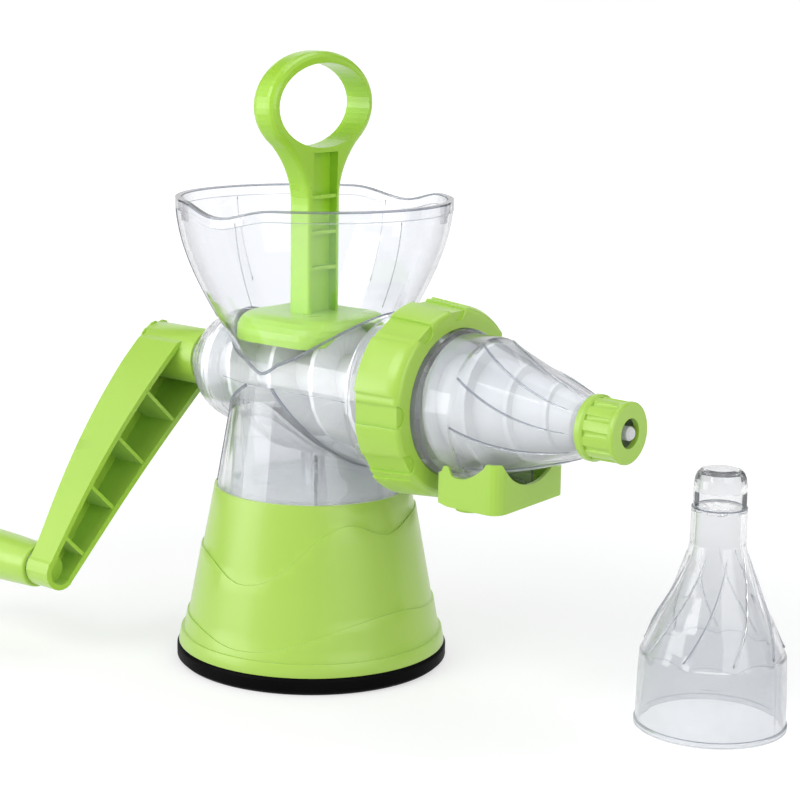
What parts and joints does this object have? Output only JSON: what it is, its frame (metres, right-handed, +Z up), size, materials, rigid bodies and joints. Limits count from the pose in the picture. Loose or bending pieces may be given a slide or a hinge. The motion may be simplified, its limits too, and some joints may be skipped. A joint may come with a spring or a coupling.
{
  "type": "hand crank press",
  "caption": "Hand crank press with a clear hopper and barrel, auger, outlet cone with lock ring and pressure cap, juice tray, pusher, suction foot and a spare outlet cone.",
  "frame": {"origin": "centre of the suction foot on the table plane", "axes": "+Z up, +X along the auger axis towards the outlet, crank at -X"},
  "size_m": [0.3919, 0.1786, 0.2804],
  "materials": {
    "lime": "semi-gloss lime green moulding",
    "clear": "clear polished plastic",
    "foot_rubber": "matt black rubber",
    "auger_white": "white food-safe plastic",
    "white_part": "white plastic",
    "seal": "pale silicone",
    "steel": "stainless steel"
  },
  "bodies": {
    "base": {"suction_foot": "foot_rubber", "press_body": "clear", "rear_bush": "white_part", "front_seal": "seal", "cone_cover": "clear"},
    "skirt": {"base_skirt": "lime", "skirt_deck": "lime", "deck_screws": "steel", "stem_nut": "white_part"},
    "stem": {"suction_stem": "white_part"},
    "crank": {"auger": "auger_white", "drive_shaft": "steel", "shaft_seal": "seal", "crank_arm": "lime", "grip_washer": "steel", "grip_bolt": "steel"},
    "knob": {"crank_knob": "lime"},
    "grip": {"crank_grip": "lime"},
    "ring": {"lock_ring": "lime"},
    "cap": {"adjusting_cap": "lime"},
    "tray": {"outlet_tray": "lime"},
    "pusher": {"pusher": "lime"},
    "spare": {"spare_cone": "clear"}
  },
  "joints": [
    {"name": "skirt_turn", "type": "hinge", "parent": "base", "child": "skirt", "pos_m": [0, 0, 0.04], "axis": [0, 0, 1], "range_deg": [0, 90]},
    {"name": "stem_lift", "type": "slide", "parent": "base", "child": "stem", "axis": [0, 0, 1], "range_m": [0, 0.0041]},
    {"name": "crank_turn", "type": "hinge", "parent": "base", "child": "crank", "pos_m": [0, 0, 0.13235], "axis": [1, 0, 0], "continuous": true},
    {"name": "knob_turn", "type": "hinge", "parent": "crank", "child": "knob", "pos_m": [-0.106, 0, 0.13235], "axis": [-1, 0, 0], "range_deg": [0, 360]},
    {"name": "grip_spin", "type": "hinge", "parent": "crank", "child": "grip", "pos_m": [-0.13, -0.08695, 0.04199], "axis": [1, 0, 0], "continuous": true},
    {"name": "ring_turn", "type": "hinge", "parent": "base", "child": "ring", "pos_m": [0.075, 0, 0.13235], "axis": [1, 0, 0], "range_deg": [0, 90]},
    {"name": "cap_turn", "type": "hinge", "parent": "base", "child": "cap", "pos_m": [0.166, 0, 0.13235], "axis": [1, 0, 0], "range_deg": [0, 360]},
    {"name": "tray_slide", "type": "slide", "parent": "base", "child": "tray", "axis": [1, 0, 0], "range_m": [0, 0.03]},
    {"name": "pusher_lift", "type": "slide", "parent": "base", "child": "pusher", "axis": [0, 0, 1], "range_m": [0, 0.075]},
    {"name": "spare_lift", "type": "slide", "parent": "base", "child": "spare", "axis": [0, 0, 1], "range_m": [0, 0.1]}
  ],
  "couplings": [
    {"joint": "stem_lift", "follows": "skirt_turn", "m_per_rad": 0.00254}
  ]
}
